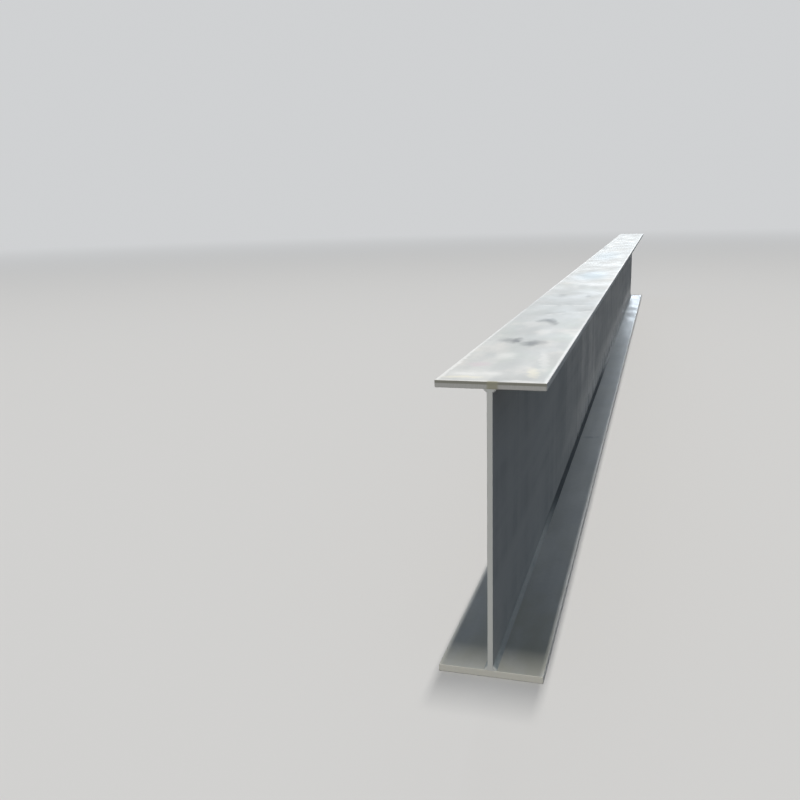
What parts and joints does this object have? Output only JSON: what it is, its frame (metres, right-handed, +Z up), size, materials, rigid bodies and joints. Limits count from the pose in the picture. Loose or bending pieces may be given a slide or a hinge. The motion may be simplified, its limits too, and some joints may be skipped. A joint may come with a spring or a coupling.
{
  "type": "steel h-beam",
  "caption": "Deep welded steel H-beam: flat flange plates joined to an upright web plate by continuous fillet welds, ends cut square, all in pale grey primer.",
  "frame": {"origin": "on the floor under the bottom flange, midway along the beam and midway across it", "axes": "+Y runs along the beam from the near cut end to the far one, +X goes across the flanges to the right seen from the near end, and +Z is up from the bottom flange to the top flange"},
  "size_m": [0.35, 12, 1],
  "materials": {
    "grey_primer": "pale grey shop primer with a soft gloss over flat steel plate",
    "primed_weld": "the same primer over a rippled weld bead"
  },
  "bodies": {
    "root": {"top_flange_plate": "grey_primer", "bottom_flange_plate": "grey_primer", "web_plate": "grey_primer", "weld_bead_top_left": "primed_weld", "weld_bead_top_right": "primed_weld", "weld_bead_bottom_left": "primed_weld", "weld_bead_bottom_right": "primed_weld"}
  },
  "joints": []
}
